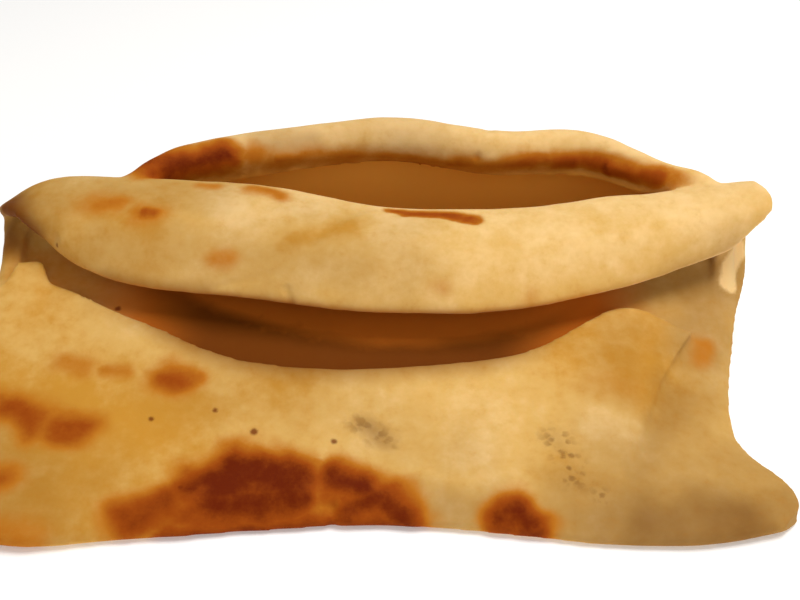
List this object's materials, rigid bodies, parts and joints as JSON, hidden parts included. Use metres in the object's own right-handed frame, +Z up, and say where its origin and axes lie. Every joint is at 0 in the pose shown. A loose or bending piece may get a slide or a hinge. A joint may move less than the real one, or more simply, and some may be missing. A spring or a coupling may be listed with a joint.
{
  "type": "pita bread",
  "caption": "Large soft flatbread folded into a loose open pocket, with a drooping rolled lip in front, a rolled rim behind and a flap across the front fold.",
  "frame": {"origin": "centre of the bread's bounding box, on the surface it rests on", "axes": "+X along the fold, to the right of someone facing the lip; +Y from the front fold to the back; +Z up"},
  "size_m": [0.2905, 0.1886, 0.0684],
  "materials": {
    "crust": "soft matt baked dough, pale gold, with toasted orange and dark brown spots"
  },
  "bodies": {
    "root": {"bread": "crust"}
  },
  "joints": []
}
